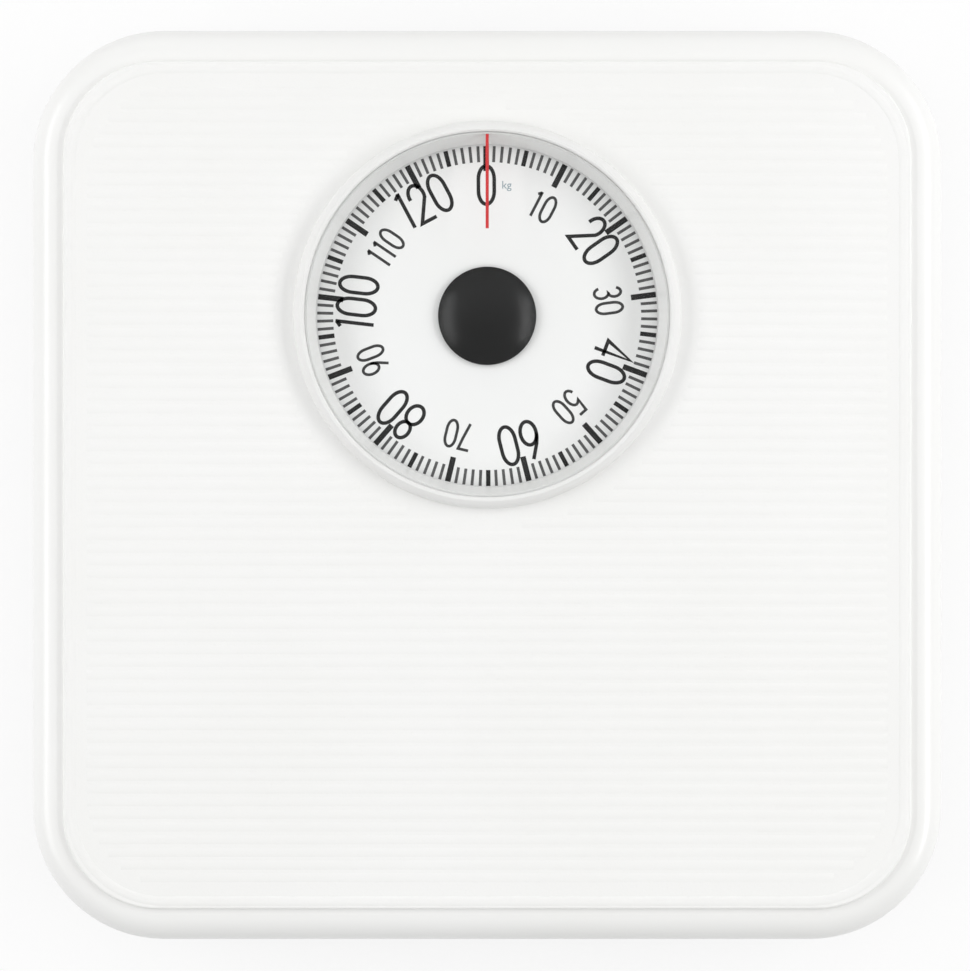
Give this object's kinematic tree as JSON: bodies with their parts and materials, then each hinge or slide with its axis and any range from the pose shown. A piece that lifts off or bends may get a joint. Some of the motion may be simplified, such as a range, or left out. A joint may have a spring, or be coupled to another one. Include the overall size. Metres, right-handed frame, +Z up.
{
  "type": "mechanical bathroom scale",
  "caption": "Flat square bathroom scale with a round turning dial under a clear lens at its far edge, on four rubber feet, with lever works inside.",
  "frame": {"origin": "on the floor under the middle of the platform", "axes": "+X to the user's right, +Y away from the user towards the dial, +Z up"},
  "size_m": [0.29, 0.29, 0.0608],
  "materials": {
    "tray": "grey-white baked enamel, satin",
    "platform": "white baked enamel, gloss",
    "mat": "ribbed white vinyl, matte",
    "feet": "black rubber, matte",
    "bezel": "white moulded plastic, satin",
    "seal": "soft pale grey plastic, matte",
    "lens": "clear moulded acrylic, polished",
    "pointer": "red plastic strip, satin",
    "dial_face": "printed white enamel, matte",
    "hub_cap": "black moulded plastic, satin",
    "collar": "turned, satin",
    "brass": "machined, satin",
    "zinc_plate": "zinc plated, satin",
    "lever_steel": "plain pressed steel, satin",
    "pins": "bright steel, polished",
    "spring_steel": "oiled spring wire",
    "rack": "moulded acetal, satin",
    "zero_wheel": "black moulded plastic, satin"
  },
  "bodies": {
    "base": {"base_tray": "tray", "rubber_feet": "feet", "fulcrum_brackets": "zinc_plate", "fulcrum_pins": "pins", "bracket_rivets": "pins", "tray_screws": "pins", "dial_bridge": "zinc_plate", "arbor_bush": "brass", "rack_guide": "rack", "crank_bracket": "zinc_plate", "crank_pivot_pin": "pins", "spring_tower": "zinc_plate", "screw_foot_bush": "brass", "main_spring": "spring_steel", "rack_return_spring": "spring_steel"},
    "platform": {"platform_shell": "platform", "foot_mat": "mat", "dial_bezel": "bezel", "bezel_lock_ring": "bezel", "lens_seal": "seal", "lens": "lens", "red_pointer": "pointer", "load_brackets": "zinc_plate", "hook_rivets": "pins"},
    "dial": {"dial_disc": "dial_face", "disc_collar": "collar", "dial_arbor": "pins", "dial_pinion": "brass", "hub_cap": "hub_cap"},
    "long_lever_set_right": {"long_lever_right": "lever_steel", "long_load_pin_right": "pins", "nose_saddle_right": "zinc_plate"},
    "long_lever_set_left": {"long_lever_left": "lever_steel", "long_load_pin_left": "pins", "nose_saddle_left": "zinc_plate"},
    "short_lever_set_right": {"short_lever_right": "lever_steel", "short_load_pin_right": "pins"},
    "short_lever_set_left": {"short_lever_left": "lever_steel", "short_load_pin_left": "pins"},
    "plate": {"calibrating_plate": "zinc_plate", "plate_saddles": "zinc_plate"},
    "crank": {"bell_crank": "zinc_plate", "crank_drive_pin": "pins"},
    "rack_bar": {"rack": "rack"},
    "zero_knob": {"zero_wheel": "zero_wheel", "adjusting_screw": "pins"},
    "hanger": {"hanger_nut": "zinc_plate"}
  },
  "joints": [
    {"name": "platform_slide", "type": "slide", "parent": "base", "child": "platform", "axis": [0, 0, -1], "range_m": [0, 0.00125], "stiffness_N_per_m": 1020000, "springref_m": -0.00004},
    {"name": "dial_turn", "type": "hinge", "parent": "base", "child": "dial", "pos_m": [0, 0.0537, 0.0478], "axis": [0, 0, 1], "range_deg": [0, 360.18]},
    {"name": "long_lever_right_turn", "type": "hinge", "parent": "base", "child": "long_lever_set_right", "pos_m": [0.095, -0.1, 0.018], "axis": [-0.9312, -0.3646, 0], "range_deg": [0, 2.87]},
    {"name": "long_lever_left_turn", "type": "hinge", "parent": "base", "child": "long_lever_set_left", "pos_m": [-0.095, -0.1, 0.018], "axis": [-0.9312, 0.3646, 0], "range_deg": [0, 2.87]},
    {"name": "short_lever_right_turn", "type": "hinge", "parent": "base", "child": "short_lever_set_right", "pos_m": [0.105, 0.093, 0.018], "axis": [0.8885, -0.4588, 0], "range_deg": [0, 2.87]},
    {"name": "short_lever_left_turn", "type": "hinge", "parent": "base", "child": "short_lever_set_left", "pos_m": [-0.105, 0.093, 0.018], "axis": [0.8885, 0.4588, 0], "range_deg": [0, 2.87]},
    {"name": "plate_slide", "type": "slide", "parent": "base", "child": "plate", "axis": [0, 0, -1], "range_m": [0, 0.01139], "deforming": ["main_spring"]},
    {"name": "crank_turn", "type": "hinge", "parent": "base", "child": "crank", "pos_m": [0.0072, 0.088, 0.01809], "axis": [-1, 0, 0], "range_deg": [0, 69.03]},
    {"name": "rack_slide", "type": "slide", "parent": "base", "child": "rack_bar", "axis": [0, 1, 0], "range_m": [0, 0.02263], "deforming": ["rack_return_spring"]},
    {"name": "zero_wheel_turn", "type": "hinge", "parent": "base", "child": "zero_knob", "pos_m": [0, 0.124, 0.008], "axis": [0, 0, 1], "range_deg": [-360.18, 360.18]},
    {"name": "hanger_slide", "type": "slide", "parent": "base", "child": "hanger", "axis": [0, 0, 1], "range_m": [-0.0008, 0.0008]}
  ],
  "couplings": [
    {"joint": "dial_turn", "follows": "platform_slide", "rad_per_m": 5026.5},
    {"joint": "long_lever_right_turn", "follows": "platform_slide", "rad_per_m": 40},
    {"joint": "long_lever_left_turn", "follows": "platform_slide", "rad_per_m": 40},
    {"joint": "short_lever_right_turn", "follows": "platform_slide", "rad_per_m": 40},
    {"joint": "short_lever_left_turn", "follows": "platform_slide", "rad_per_m": 40},
    {"joint": "plate_slide", "follows": "platform_slide", "ratio": 9.1067},
    {"joint": "crank_turn", "follows": "platform_slide", "rad_per_m": 963.42},
    {"joint": "rack_slide", "follows": "platform_slide", "ratio": 18.096},
    {"joint": "zero_wheel_turn", "follows": "hanger_slide", "rad_per_m": 7854}
  ]
}
